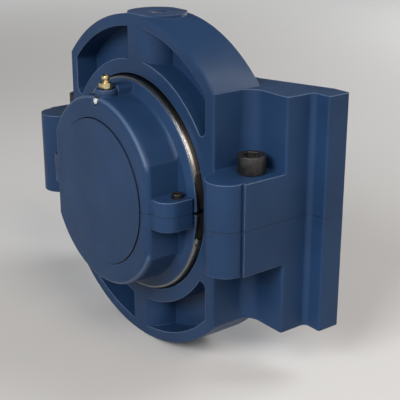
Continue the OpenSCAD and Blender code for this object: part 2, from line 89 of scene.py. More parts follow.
class PaintSettings(bpy.types.PropertyGroup):
    """Paint of the castings, and the bare metal that shows on them."""

    paint: bpy.props.FloatVectorProperty(
        name="Paint", description="Blue of the castings", subtype="COLOR", size=3,
        default=(0.017, 0.047, 0.118), min=0, max=1)
    # Colour of paint worn thin on outer edges, which also serves as a highlight painted along them,
    # and of the paint's specks.
    edge: bpy.props.FloatVectorProperty(
        name="Worn edge", description="Paint where it is thin on an edge", subtype="COLOR", size=3,
        default=(0.17, 0.24, 0.38), min=0, max=1)
    bare: bpy.props.FloatVectorProperty(
        name="Bare seat", description="Dark oiled metal of the spherical seat",
        subtype="COLOR", size=3, default=(0.054, 0.050, 0.045), min=0, max=1)
    polished: bpy.props.FloatVectorProperty(
        name="Polished metal", description="The band's edges and the lifting hole's thread",
        subtype="COLOR", size=3, default=(0.27, 0.27, 0.27), min=0, max=1)
    polished_width: bpy.props.FloatProperty(
        name="Polished width", description="Width of the bright strip at the band's edges",
        unit="LENGTH", default=2.1 * MM, min=0, max=10 * MM)
    # Colour of the dark joint, and also of the shade painted in the disc's gap and the plug's recess.
    seam: bpy.props.FloatVectorProperty(
        name="Joint", description="Dark line where two halves meet", subtype="COLOR", size=3,
        default=(0.006, 0.010, 0.020), min=0, max=1)
    roughness: bpy.props.FloatProperty(
        name="Roughness", description="Roughness of the paint", default=0.42, min=0, max=1)
    edge_radius: bpy.props.FloatProperty(
        name="Edge radius", description="Rounding of the cast edges", unit="LENGTH",
        default=1.8 * MM, min=0, max=5 * MM)
    seam_radius: bpy.props.FloatProperty(
        name="Joint radius", description="Rounding of the machined edges at the joint", unit="LENGTH",
        default=0.35 * MM, min=0, max=2 * MM)
    disc_edge_radius: bpy.props.FloatProperty(
        name="Disc edge radius", description="Rounding of the closing disc's edge", unit="LENGTH",
        default=0.7 * MM, min=0, max=2 * MM)
    seat_radius: bpy.props.FloatProperty(
        name="Seat radius", description="Radius of the spherical seat", unit="LENGTH",
        default=104.2 * MM, min=50 * MM, max=200 * MM)
    seat_half_width: bpy.props.FloatProperty(
        name="Seat half width", description="Half width of the bare band", unit="LENGTH",
        default=30.0 * MM, min=5 * MM, max=60 * MM)
    relief_place: bpy.props.FloatProperty(
        name="Relief", description="Distance of the band's side relief from the middle",
        unit="LENGTH", default=95 * MM, min=50 * MM, max=120 * MM)
    # These three settings place the highlight painted all round the cartridge's front rim.
    rim_radius: bpy.props.FloatProperty(
        name="Rim radius", description="Radius of the cartridge's worn front rim", unit="LENGTH",
        default=86.2 * MM, min=50 * MM, max=120 * MM)
    rim_place: bpy.props.FloatProperty(
        name="Rim place", description="Distance of the worn rim from the middle, along the axis",
        unit="LENGTH", default=66.2 * MM, min=20 * MM, max=90 * MM)
    rim_width: bpy.props.FloatProperty(
        name="Rim width", description="Half width of the wear on the rim", unit="LENGTH",
        default=2.6 * MM, min=0.5 * MM, max=8 * MM)
    plug_height: bpy.props.FloatProperty(
        name="Plug height", description="Height of the gallery plug over the axis", unit="LENGTH",
        default=83.975 * MM, min=50 * MM, max=120 * MM)
    # The shade painted round the gallery plug reaches out to this radius.
    recess_radius: bpy.props.FloatProperty(
        name="Plug recess", description="Radius of the recess round the gallery plug", unit="LENGTH",
        default=5.0 * MM, min=1 * MM, max=10 * MM)
    disc_radius: bpy.props.FloatProperty(
        name="Disc radius", description="Radius of the gap round the closing disc", unit="LENGTH",
        default=67.7 * MM, min=20 * MM, max=120 * MM)
    thread_radius: bpy.props.FloatProperty(
        name="Lifting hole radius", description="Radius inside which the lifting hole is threaded",
        unit="LENGTH", default=7.4 * MM, min=2 * MM, max=20 * MM)
    thread_foot: bpy.props.FloatProperty(
        name="Lifting thread foot", description="Height at which the lifting hole's thread begins",
        unit="LENGTH", default=110 * MM, min=0, max=300 * MM)
    thread_pitch: bpy.props.FloatProperty(
        name="Lifting thread pitch", description="Pitch of the lifting hole's thread", unit="LENGTH",
        default=2.0 * MM, min=0.5 * MM, max=4 * MM)


class MetalSettings(bpy.types.PropertyGroup):
    """Colours of the unpainted pieces."""

    ground: bpy.props.FloatVectorProperty(
        name="Ground steel", description="Rings, rollers and dowels", subtype="COLOR", size=3,
        default=(0.56, 0.57, 0.58), min=0, max=1)
    turned: bpy.props.FloatVectorProperty(
        name="Turned steel", description="Clamp rings and seal carrier", subtype="COLOR", size=3,
        default=(0.42, 0.42, 0.42), min=0, max=1)
    black: bpy.props.FloatVectorProperty(
        name="Black oxide", description="Socket screws", subtype="COLOR", size=3,
        default=(0.062, 0.060, 0.058), min=0, max=1)
    zinc: bpy.props.FloatVectorProperty(
        name="Yellow zinc", description="Plating of the grease nipple", subtype="COLOR", size=3,
        default=(0.64, 0.52, 0.29), min=0, max=1)
    bright: bpy.props.FloatVectorProperty(
        name="Bright plating", description="Plug of the grease gallery", subtype="COLOR", size=3,
        default=(0.74, 0.83, 0.92), min=0, max=1)
    brass: bpy.props.FloatVectorProperty(
        name="Brass", description="Cage halves", subtype="COLOR", size=3,
        default=(0.60, 0.42, 0.16), min=0, max=1)
    felt: bpy.props.FloatVectorProperty(
        name="Felt", description="Oiled felt strips", subtype="COLOR", size=3,
        default=(0.24, 0.17, 0.10), min=0, max=1)


class ScrewSettings(bpy.types.PropertyGroup):
    """Heads of the socket cap screws, by size."""

    big_head: bpy.props.FloatProperty(
        name="M16 head radius", description="Head radius of the housing screws", unit="LENGTH",
        default=12.0 * MM, min=5 * MM, max=30 * MM)
    big_height: bpy.props.FloatProperty(
        name="M16 head height", description="Head height of the housing screws", unit="LENGTH",
        default=16.0 * MM, min=5 * MM, max=30 * MM)
    big_socket: bpy.props.FloatProperty(
        name="M16 socket", description="Width over the flats of the big socket", unit="LENGTH",
        default=14.0 * MM, min=3 * MM, max=25 * MM)
    ear_head: bpy.props.FloatProperty(
        name="M6 head radius", description="Head radius of the cartridge screws", unit="LENGTH",
        default=5.0 * MM, min=2 * MM, max=12 * MM)
    ear_height: bpy.props.FloatProperty(
        name="M6 head height", description="Head height of the cartridge screws", unit="LENGTH",
        default=6.0 * MM, min=2 * MM, max=12 * MM)
    ear_socket: bpy.props.FloatProperty(
        name="M6 socket", description="Width over the flats of the ear screws' socket", unit="LENGTH",
        default=5.0 * MM, min=1 * MM, max=10 * MM)
    clamp_head: bpy.props.FloatProperty(
        name="M5 head radius", description="Head radius of the clamp screws", unit="LENGTH",
        default=4.25 * MM, min=2 * MM, max=12 * MM)
    clamp_height: bpy.props.FloatProperty(
        name="M5 head height", description="Head height of the clamp screws", unit="LENGTH",
        default=5.0 * MM, min=2 * MM, max=12 * MM)
    clamp_socket: bpy.props.FloatProperty(
        name="M5 socket", description="Width over the flats of the clamp screws' socket",
        unit="LENGTH", default=4.0 * MM, min=1 * MM, max=10 * MM)
    knurl_depth: bpy.props.FloatProperty(
        name="Knurl depth", description="Depth of the knurl on the big heads", unit="LENGTH",
        default=0.15 * MM, min=0, max=1 * MM)


class StageSettings(bpy.types.PropertyGroup):
    """Floor, lights and camera."""

    floor: bpy.props.FloatVectorProperty(
        name="Floor", description="Colour of the plain floor", subtype="COLOR", size=3,
        default=(0.70, 0.70, 0.70), min=0, max=1)
    floor_return: bpy.props.FloatProperty(
        name="Floor return", description="Share of the floor's brightness that lights the bearing",
        default=0.6, min=0, max=1)
    fade_start: bpy.props.FloatProperty(
        name="Fade start", description="Distance at which the floor begins to pass into the room",
        unit="LENGTH", default=0.8, min=0, max=10)
    fade_end: bpy.props.FloatProperty(
        name="Fade end", description="Distance at which the floor looks like the room",
        unit="LENGTH", default=3.6, min=0, max=20)
    floor_radius: bpy.props.FloatProperty(
        name="Floor radius", description="Radius of the round floor", unit="LENGTH",
        default=9.0, min=2, max=30)
    lens: bpy.props.FloatProperty(
        name="Lens", description="Focal length on a 36 mm sensor, in millimetres",
        default=85.406, min=20, max=300)
    camera_place: bpy.props.FloatVectorProperty(
        name="Camera place", description="Where the photograph was taken from", subtype="TRANSLATION",
        unit="LENGTH", size=3, default=(0.7011, -0.4877, 0.2841))
    camera_side: bpy.props.FloatProperty(
        name="Camera side angle", description="How far the camera stands to the right of the front",
        subtype="ANGLE", default=math.radians(52.617))
    camera_drop: bpy.props.FloatProperty(
        name="Camera drop angle", description="How far the camera looks down", subtype="ANGLE",
        default=math.radians(19.801))
    sky: bpy.props.FloatProperty(
        name="Room light", description="Strength of the even light from all sides",
        default=0.05, min=0, max=2)
    backdrop: bpy.props.FloatProperty(
        name="Backdrop", description="Brightness of the pale room behind the floor, as it is seen",
        default=0.52, min=0, max=1)
    key: bpy.props.FloatProperty(
        name="Key light", description="Power of the soft light above the front, in watts",
        default=45.0, min=0, max=500)
    side: bpy.props.FloatProperty(
        name="Side light", description="Power of the soft light above the right side, in watts",
        default=21.0, min=0, max=500)
    back: bpy.props.FloatProperty(
        name="Back light", description="Power of the soft light behind the right side, in watts",
        default=20.0, min=0, max=500)
    rear: bpy.props.FloatProperty(
        name="Rear light", description="Power of the soft light behind the bearing, in watts",
        default=20.0, min=0, max=500)
    light_distance: bpy.props.FloatProperty(
        name="Light distance", description="How far the lights stand from the bearing", unit="LENGTH",
        default=2.4, min=1, max=10)
    light_size: bpy.props.FloatProperty(
        name="Light size", description="Side of the square lights", unit="LENGTH",
        default=1.1, min=0.1, max=4)


# Helpers for node trees

def add(tree, kind, ins=None, **settings):
    """Adds a node; inputs are constants or sockets to link."""
    made = tree.nodes.new(kind)
    for key, value in settings.items():
        setattr(made, key, value)
    for key, value in (ins or {}).items():
        put(tree, value, made.inputs[key])
    return made


def put(tree, value, socket):
    """Links a socket, or sets a constant."""
    if isinstance(value, bpy.types.NodeSocket):
        tree.links.new(value, socket)
    else:
        socket.default_value = value


def calc(tree, operation, first, second=0.0, third=0.0, clamp=False):
    """One step of arithmetic; gives its result socket."""
    made = add(tree, "ShaderNodeMath", operation=operation, use_clamp=clamp)
    for index, value in enumerate((first, second, third)):
        put(tree, value, made.inputs[index])
    return made.outputs[0]


def mixed(tree, share, first, second):
    """Blends two colours by a share."""
    made = add(tree, "ShaderNodeMix", data_type="RGBA")
    put(tree, share, made.inputs[0])
    for index, value in ((6, first), (7, second)):
        if not isinstance(value, bpy.types.NodeSocket):
            value = (*value, 1.0) if len(value) == 3 else value
        put(tree, value, made.inputs[index])
    return made.outputs[2]


def mixed_value(tree, share, first, second):
    """Blends two numbers by a share."""
    made = add(tree, "ShaderNodeMix", data_type="FLOAT")
    for index, value in ((0, share), (2, first), (3, second)):
        put(tree, value, made.inputs[index])
    return made.outputs[0]


def step(tree, value, start, end):
    """Rises smoothly from 0 at start to 1 at end, or falls where end is below start."""
    low, high = min(start, end), max(start, end)
    down = end < start
    made = add(tree, "ShaderNodeMapRange", interpolation_type="SMOOTHSTEP")
    for index, item in enumerate((value, low, high, 1.0 if down else 0.0, 0.0 if down else 1.0)):
        put(tree, item, made.inputs[index])
    return made.outputs[0]


def product(tree, *values):
    """Multiplies masks."""
    result = values[0]
    for value in values[1:]:
        result = calc(tree, "MULTIPLY", result, value)
    return result


def split_axes(tree, vector):
    """The three coordinates of a vector."""
    return tuple(add(tree, "ShaderNodeSeparateXYZ", {"Vector": vector}).outputs)


def off_place(tree, value, place=0.0):
    """How far a value is from a place, to either side."""
    return calc(tree, "ABSOLUTE", calc(tree, "SUBTRACT", value, place))


def around_axis(tree, first, second, middle=0.0):
    """Distance from an axis, from the two coordinates across it; middle is the axis's second one."""
    off = calc(tree, "SUBTRACT", second, middle)
    squares = calc(tree, "ADD", product(tree, first, first), product(tree, off, off))
    return calc(tree, "SQRT", squares)


def seen_ray(tree):
    """One where a ray comes from the camera, a reflection or a clear surface."""
    path = add(tree, "ShaderNodeLightPath")
    return calc(tree, "MAXIMUM", path.outputs["Is Camera Ray"], calc(
        tree, "MAXIMUM", path.outputs["Is Glossy Ray"], path.outputs["Is Transmission Ray"]))


def built_once(build):
    """Lets a function build its node group only the first time; the group gets its name."""
    def group():
        name = build.__name__
        return bpy.data.node_groups.get(name) or build(name)
    return group


def new_group(name, inputs, outputs):
    """A shader node group with named sockets; gives the tree, its input and its output node."""
    tree = bpy.data.node_groups.new(name, "ShaderNodeTree")
    for label, kind, default in inputs:
        socket = tree.interface.new_socket(name=label, in_out="INPUT", socket_type=kind)
        if default is not None:
            socket.default_value = default
    for label, kind in outputs:
        tree.interface.new_socket(name=label, in_out="OUTPUT", socket_type=kind)
    return tree, tree.nodes.new("NodeGroupInput"), tree.nodes.new("NodeGroupOutput")


def use_group(tree, group, **ins):
    """Places a group in a material; words in the socket names are joined by underscores."""
    made = tree.nodes.new("ShaderNodeGroup")
    made.node_tree = group
    for key, value in ins.items():
        put(tree, value, made.inputs[key.replace("_", " ")])
    return made


# Effects that more than one material uses

def noise(tree, at, scale, detail, distortion=0.0):
    """Value of a noise texture, about 0.5 on average."""
    made = add(tree, "ShaderNodeTexNoise", {
        "Vector": at, "Scale": scale, "Detail": detail, "Distortion": distortion})
    return made.outputs["Fac"]


@built_once
def cast_grain(name):
    """Sand-cast skin under paint: fine peel, broad waves and slow patches of tone."""
    tree, given, out = new_group(
        name,
        [("Vector", VECTOR, None), ("Fine Scale", FLOAT, 900.0), ("Coarse Scale", FLOAT, 120.0)],
        [("Height", FLOAT), ("Patch", FLOAT), ("Speck", FLOAT)])
    at = given.outputs["Vector"]
    fine = noise(tree, at, given.outputs["Fine Scale"], 3.0)
    broad = noise(tree, at, given.outputs["Coarse Scale"], 2.0)
    patch = noise(tree, at, 14.0, 3.0)
    peel = calc(tree, "MULTIPLY", fine, 0.35)
    put(tree, calc(tree, "ADD", peel, broad), out.inputs["Height"])
    put(tree, step(tree, patch, 0.3, 0.7), out.inputs["Patch"])
    put(tree, step(tree, fine, 0.62, 0.72), out.inputs["Speck"])
    return tree


@built_once
def edge_round(name):
    """Rounded edges as seen by light, finer near the joint plane, and a mask of outer edges."""
    tree, given, out = new_group(
        name,
        [("Vector", VECTOR, None), ("Radius", FLOAT, 1.8 * MM), ("Joint Radius", FLOAT, 0.4 * MM),
         ("Open Distance", FLOAT, 6 * MM)],
        [("Normal", VECTOR), ("Edge", FLOAT)])
    height = split_axes(tree, given.outputs["Vector"])[2]
    off_joint = step(tree, calc(tree, "ABSOLUTE", height), 0.8 * MM, 2.6 * MM)
    radius = mixed_value(tree, off_joint, given.outputs["Joint Radius"], given.outputs["Radius"])
    bevel = add(tree, "ShaderNodeBevel", {"Radius": radius}, samples=6)
    flat = add(tree, "ShaderNodeNewGeometry")
    turn = add(
        tree, "ShaderNodeVectorMath", {0: bevel.outputs[0], 1: flat.outputs["Normal"]},
        operation="DOT_PRODUCT")
    on_edge = step(tree, turn.outputs["Value"], 0.985, 0.80)
    open_air = add(
        tree, "ShaderNodeAmbientOcclusion", {"Distance": given.outputs["Open Distance"]},
        samples=6, only_local=True)
    stands_out = step(tree, open_air.outputs["AO"], 0.80, 0.97)
    put(tree, bevel.outputs[0], out.inputs["Normal"])
    put(tree, product(tree, on_edge, stands_out), out.inputs["Edge"])
    return tree


@built_once
def turned_lines(name):
    """Fine rings left by turning and grinding round the bearing axis."""
    tree, given, out = new_group(
        name,
        [("Vector", VECTOR, None), ("Scale", FLOAT, 2500.0)],
        [("Height", FLOAT), ("Streak", FLOAT)])
    x, y, z = split_axes(tree, given.outputs["Vector"])
    place = add(tree, "ShaderNodeCombineXYZ", {"X": y, "Y": around_axis(tree, x, z)}).outputs[0]
    put(tree, noise(tree, place, given.outputs["Scale"], 2.0), out.inputs["Height"])
    put(tree, step(tree, noise(tree, place, 260.0, 2.0), 0.35, 0.65), out.inputs["Streak"])
    return tree


@built_once
def thread_lines(name):
    """Height of a thread round an upright axis through the origin."""
    tree, given, out = new_group(
        name, [("Vector", VECTOR, None), ("Pitch", FLOAT, 2 * MM)], [("Height", FLOAT)])
    x, y, z = split_axes(tree, given.outputs["Vector"])
    turn = calc(tree, "DIVIDE", calc(tree, "ARCTAN2", y, x), math.tau)
    climb = calc(tree, "DIVIDE", z, given.outputs["Pitch"])
    put(tree, calc(tree, "PINGPONG", calc(tree, "SUBTRACT", climb, turn), 0.5), out.inputs["Height"])
    return tree


@built_once
def handling_wear(name):
    """Handling marks: soft smudges that change gloss, and fine scratches."""
    tree, given, out = new_group(
        name,
        [("Vector", VECTOR, None), ("Scale", FLOAT, 60.0)],
        [("Smudge", FLOAT), ("Scratch", FLOAT)])
    at = given.outputs["Vector"]
    smudge = noise(tree, at, given.outputs["Scale"], 4.0)
    pull = add(tree, "ShaderNodeMapping", {"Vector": at, "Scale": (1.0, 14.0, 5.0)})
    scratch = noise(tree, pull.outputs[0], 240.0, 1.0)
    put(tree, step(tree, smudge, 0.35, 0.7), out.inputs["Smudge"])
    put(tree, step(tree, scratch, 0.68, 0.76), out.inputs["Scratch"])
    return tree


# Materials

FADE = 0.2 * MM     # over which one finish of a casting passes into the next
# How strongly each mark covers the paint: the edge mark is wear together with a painted highlight,
# the rim mark a painted highlight, the gap and recess marks painted shade
SPECKS, EDGE_WEAR_AND_HIGHLIGHT, RIM_HIGHLIGHT, DARK_JOINT, GAP_SHADE, RECESS_SHADE = 0.10, 0.85, 0.4, 0.85, 0.75, 0.8
# Heights of machined lines and of a thread, where the casting's own skin is about 1
LINES_HEIGHT, THREAD_HEIGHT = 0.10, 24.0


def new_material(name):
    """An empty material with a Principled shader; gives it, its tree, shader and coordinates."""
    material = bpy.data.materials.new(name)
    material.use_nodes = True
    tree = material.node_tree
    tree.nodes.clear()
    shader = tree.nodes.new("ShaderNodeBsdfPrincipled")
    out = tree.nodes.new("ShaderNodeOutputMaterial")
    tree.links.new(shader.outputs[0], out.inputs["Surface"])
    place = tree.nodes.new("ShaderNodeTexCoord")
    return material, tree, shader, place.outputs["Object"]


def shades(color, *factors):
    """The same colour at other brightnesses, none over 1."""
    return [[min(1.0, part * factor) for part in color] for factor in factors]


def finish_surface(tree, shader, finish, bump, normal):
    """Links a finish and bumps the rounded normal; bump is the bump's strength and distance."""
    strength, distance = bump
    made = add(tree, "ShaderNodeBump", {
        "Strength": strength, "Distance": distance, "Height": finish["height"], "Normal": normal})
    put(tree, finish["tone"], shader.inputs["Base Color"])
    put(tree, finish["gloss"], shader.inputs["Roughness"])
    put(tree, finish["metal"], shader.inputs["Metallic"])
    put(tree, made.outputs[0], shader.inputs["Normal"])


def worn_rim(tree, settings, around, y):
    """Mask of the cartridge's front rim, where a highlight is painted into the paint's colour."""
    place = add(tree, "ShaderNodeCombineXYZ", {"X": around, "Y": calc(tree, "ABSOLUTE", y)})
    rim = (settings.rim_radius, settings.rim_place, 0.0)
    off_rim = add(tree, "ShaderNodeVectorMath", {0: place.outputs[0], 1: rim}, operation="DISTANCE")
    return step(tree, off_rim.outputs["Value"], settings.rim_width, 0.0)


def bare_seat(tree, settings, at, around, finish):
    """Changes the finish to oiled metal on the seat's band, bright at its edges, dull in reliefs."""
    x, y = split_axes(tree, at)[:2]
    lines = use_group(tree, turned_lines(), Vector=at)
    along = calc(tree, "ABSOLUTE", y)
    width = settings.seat_half_width
    on_ball = step(tree, around, settings.seat_radius * 0.89, settings.seat_radius * 0.90)
    bare = product(tree, on_ball, step(tree, along, width + 0.6 * MM, width + 0.2 * MM))
    off_relief = step(
        tree, off_place(tree, calc(tree, "ABSOLUTE", x), settings.relief_place), 0.3 * MM, 0.6 * MM)
    strip = width - settings.polished_width
    bright = product(tree, step(tree, along, strip - 0.6 * MM, strip + 0.6 * MM), off_relief)

    metal = mixed(tree, lines.outputs["Streak"], *shades(settings.bare, 0.85, 1.1))
    metal = mixed(tree, bright, metal, settings.polished)
    lines_height = calc(tree, "MULTIPLY", lines.outputs["Height"], LINES_HEIGHT)
    return {
        "tone": mixed(tree, bare, finish["tone"], metal),
        "gloss": mixed_value(tree, bare, finish["gloss"], mixed_value(tree, bright, 0.36, 0.27)),
        "height": mixed_value(tree, bare, finish["height"], lines_height),
        "metal": product(tree, bare, mixed_value(tree, off_relief, 0.25, 1.0))}


def lifting_thread(tree, settings, at, finish):
    """Changes the finish to cut metal with a thread inside the lifting hole."""
    x, y, z = split_axes(tree, at)
    radius = settings.thread_radius
    inside = product(
        tree, step(tree, around_axis(tree, x, y), radius + FADE, radius),
        step(tree, z, settings.thread_foot, settings.thread_foot + 2 * MM))
    thread = use_group(tree, thread_lines(), Vector=at, Pitch=settings.thread_pitch)
    thread_height = calc(tree, "MULTIPLY", thread.outputs["Height"], THREAD_HEIGHT)
    return {
        "tone": mixed(tree, inside, finish["tone"], settings.polished),
        "gloss": mixed_value(tree, inside, finish["gloss"], 0.35),
        "height": mixed_value(tree, inside, finish["height"], thread_height),
        "metal": inside}


def cast_paint(
        name, settings, edge_radius, seat=False, lifting_hole=False, joint=True, disc_gap=False):
    """Satin paint on cast iron, with its dark joint, painted highlights on its edges and front rim,
    painted shade in the disc's gap and the plug's recess, and with the bare seat or the threaded
    hole.
    """
    material, tree, shader, at = new_material(name)
    grain = use_group(tree, cast_grain(), Vector=at)
    edges = use_group(
        tree, edge_round(), Vector=at, Radius=edge_radius, Joint_Radius=settings.seam_radius)
    wear = use_group(tree, handling_wear(), Vector=at, Scale=38.0)
    x, y, z = split_axes(tree, at)
    around = around_axis(tree, x, z)

    tone = mixed(tree, grain.outputs["Patch"], *shades(settings.paint, 0.88, 1.12))
    tone = mixed(tree, product(tree, grain.outputs["Speck"], SPECKS), tone, settings.edge)
    # Outer edges are lightened: paint worn thin there, together with a painted highlight along them.
    wear_and_highlight = product(tree, edges.outputs["Edge"], EDGE_WEAR_AND_HIGHLIGHT)
    if seat:
        # Painted highlight round the cartridge's front rim.
        on_rim = product(tree, worn_rim(tree, settings, around, y), RIM_HIGHLIGHT)
        wear_and_highlight = calc(tree, "MAXIMUM", wear_and_highlight, on_rim)
    tone = mixed(tree, wear_and_highlight, tone, settings.edge)
    if joint:
        at_joint = step(tree, off_place(tree, z), 0.45 * MM, 0.15 * MM)
        tone = mixed(tree, product(tree, at_joint, DARK_JOINT), tone, settings.seam)
    # Painted shade in the narrow gap round the closing disc.
    if disc_gap:
        gap_shade = step(tree, off_place(tree, around, settings.disc_radius), 0.9 * MM, 0.4 * MM)
        in_front = step(tree, y, -50 * MM, -55 * MM)
        tone = mixed(tree, product(tree, gap_shade, in_front, GAP_SHADE), tone, settings.seam)
    gloss = mixed_value(
        tree, wear.outputs["Smudge"], settings.roughness - 0.04, settings.roughness + 0.06)
    finish = {"tone": tone, "gloss": gloss, "height": grain.outputs["Height"], "metal": 0.0}
    if seat:
        finish = bare_seat(tree, settings, at, around, finish)
        # Painted shade in the recess round the gallery plug.
        shaded_recess = step(
            tree, around_axis(tree, x, z, settings.plug_height),
            settings.recess_radius + FADE, settings.recess_radius - FADE)
        in_front = step(tree, y, 0.0, -10 * MM)
        finish["tone"] = mixed(
            tree, product(tree, shaded_recess, in_front, RECESS_SHADE), finish["tone"], settings.seam)
    if lifting_hole:
        finish = lifting_thread(tree, settings, at, finish)
    finish_surface(tree, shader, finish, (0.6, 0.06 * MM), edges.outputs["Normal"])
    shader.inputs["Specular IOR Level"].default_value = 0.2
    return material


def metal_finish(
        name, color, roughness, spread, line_scale, line_depth, edge_radius=0.4 * MM,
        axis_height=0.0):
    """Machined metal: turning lines round an axis along Y, smudges, and edges rubbed bright."""
    material, tree, shader, at = new_material(name)
    centred = add(tree, "ShaderNodeMapping", {"Vector": at, "Location": (0.0, 0.0, -axis_height)})
    at = centred.outputs[0]
    lines = use_group(tree, turned_lines(), Vector=at, Scale=line_scale)
    wear = use_group(tree, handling_wear(), Vector=at, Scale=90.0)
    edges = use_group(
        tree, edge_round(), Vector=at, Radius=edge_radius, Joint_Radius=edge_radius)
    dark, light, rubbed = shades(color, 0.82, 1.12, 1.6)
    tone = mixed(tree, lines.outputs["Streak"], dark, light)
    tone = mixed(tree, calc(tree, "MULTIPLY", edges.outputs["Edge"], 0.35), tone, rubbed)
    gloss = mixed_value(tree, wear.outputs["Smudge"], roughness, roughness + spread)
    finish_surface(
        tree, shader, {"tone": tone, "gloss": gloss, "height": lines.outputs["Height"], "metal": 1.0},
        (0.5, line_depth), edges.outputs["Normal"])
    return material


def black_oxide(settings):
    """Oiled black oxide of the socket screws, browned and rubbed on its edges."""
    material, tree, shader, at = new_material("black_oxide")
    wear = use_group(tree, handling_wear(), Vector=at, Scale=160.0)
    edges = use_group(tree, edge_round(), Vector=at, Radius=0.5 * MM, Joint_Radius=0.5 * MM)
    dark, light, scratched, rubbed = shades(settings.black, 0.75, 1.25, 4.0, 7.0)
    tone = mixed(tree, wear.outputs["Smudge"], dark, light)
    tone = mixed(tree, calc(tree, "MULTIPLY", wear.outputs["Scratch"], 0.5), tone, scratched)
    tone = mixed(tree, calc(tree, "MULTIPLY", edges.outputs["Edge"], 0.7), tone, rubbed)
    gloss = mixed_value(tree, wear.outputs["Smudge"], 0.34, 0.5)
    finish_surface(
        tree, shader, {"tone": tone, "gloss": gloss, "height": wear.outputs["Smudge"], "metal": 0.75},
        (0.4, 0.03 * MM), edges.outputs["Normal"])
    return material


def oiled_felt(settings):
    """Matted wool fibres, darkened by oil."""
    material, tree, shader, at = new_material("oiled_felt")
    fibre = noise(tree, at, 1400.0, 5.0, 1.5)
    stain = noise(tree, at, 45.0, 2.0)
    dark, light, oiled = shades(settings.felt, 0.6, 1.5, 0.35)
    tone = mixed(tree, fibre, dark, light)
    tone = mixed(tree, step(tree, stain, 0.45, 0.7), tone, oiled)
    bump = add(tree, "ShaderNodeBump", {"Strength": 0.8, "Distance": 0.3 * MM, "Height": fibre})
    put(tree, tone, shader.inputs["Base Color"])
    put(tree, bump.outputs[0], shader.inputs["Normal"])
    shader.inputs["Roughness"].default_value = 0.95
    shader.inputs["Sheen Weight"].default_value = 0.25
    return material


def dress(node, material):
    """Gives a CAD node's object one material."""
    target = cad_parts[node]
    target.data.materials.clear()
    target.data.materials.append(material)


# Helpers for meshes

SHARP_ANGLE = math.radians(32)


def round_radius(radius):
    """Radius that is the same all round."""
    return lambda turn: radius


def hex_radius(flat_width, limit=None):
    """Radius of a hexagon with corners on +X, cut to a round limit."""
    def at(turn):
        off = (turn + math.pi / 6) % (math.pi / 3) - math.pi / 6
        corner = flat_width / 2 / math.cos(math.pi / 6 - abs(off))
        return corner if limit is None else min(corner, limit)
    return at


def knurl_radius(radius, depth, count):
    """Radius with straight flutes round it."""
    return lambda turn: radius - depth * (1 - math.cos(count * turn)) / 2


def lathe(rings, steps):
    """A closed form from rings of (height, radius function), from the foot up and then inwards."""
    form = bmesh.new()
    turns = [math.tau * i / steps for i in range(steps)]
    made = []
    for height, radius in rings:
        made.append([
            form.verts.new((radius(turn) * math.cos(turn), radius(turn) * math.sin(turn), height))
            for turn in turns])
    for low, high in zip(made, made[1:]):
        for i in range(steps):
            form.faces.new((low[i], low[(i + 1) % steps], high[(i + 1) % steps], high[i]))
    for ring, height in ((made[0], rings[0][0]), (made[-1], rings[-1][0])):
        middle = form.verts.new((0, 0, height))
        for i in range(steps):
            form.faces.new((ring[i], ring[(i + 1) % steps], middle))
    bmesh.ops.recalc_face_normals(form, faces=form.faces)
    return form


def finish_mesh(name, form):
    """Turns a bmesh into an object's mesh, smooth but for its sharp edges."""
    for face in form.faces:
        face.smooth = True
    for edge in form.edges:
        edge.smooth = len(edge.link_faces) != 2 or edge.calc_face_angle(0.0) < SHARP_ANGLE
    mesh = bpy.data.meshes.new(name)
    form.to_mesh(mesh)
    form.free()
    return mesh


def show(name, data):
    """Puts a mesh, a light or a camera in the scene as an object at the origin."""
    made = bpy.data.objects.new(name, data)
    bpy.context.scene.collection.objects.link(made)
    return made


# Pieces made here in place of their CAD nodes

SHANK = 0.57                # a screw's shank radius, as a share of its socket's width
NIPPLE_HEIGHT = 13.2 * MM   # from the foot of the nipple's hexagon to the top of its CAD node


def cap_screw_mesh(name, head, height, flats, shank, length, knurl_depth, flutes):
    """A socket cap screw whose head rests on z = 0, with flutes, a rounded rim and a hexagon."""
    edge = height * 0.06
    lead = flats * 0.53 + edge * 0.7
    deep = height * 0.5
    side = knurl_radius(head, knurl_depth, flutes)
    rings = [
        (-length, round_radius(shank * 0.80)), (-length + shank * 0.2, round_radius(shank)),
        (-height * 0.05, round_radius(shank)), (0, round_radius(shank * 1.06)),
        (0, round_radius(head * 0.955)), (edge * 0.5, round_radius(head * 0.985)),
        (edge * 0.8, side), (height * 0.84, side),
        (height * 0.88, round_radius(head)), (height - edge, round_radius(head)),
        (height - edge * 0.65, round_radius(head - edge * 0.08)),
        (height - edge * 0.3, round_radius(head - edge * 0.33)),
        (height - edge * 0.08, round_radius(head - edge * 0.7)), (height, round_radius(head - edge)),
        (height, round_radius(lead + edge * 0.3)),
        (height - edge * 0.5, hex_radius(flats, lead)), (height - edge * 1.4, hex_radius(flats)),
        (height - deep, hex_radius(flats)),
        (height - deep - flats * 0.12, round_radius(flats * 0.12)),
    ]
    return finish_mesh(name, lathe(rings, 144))


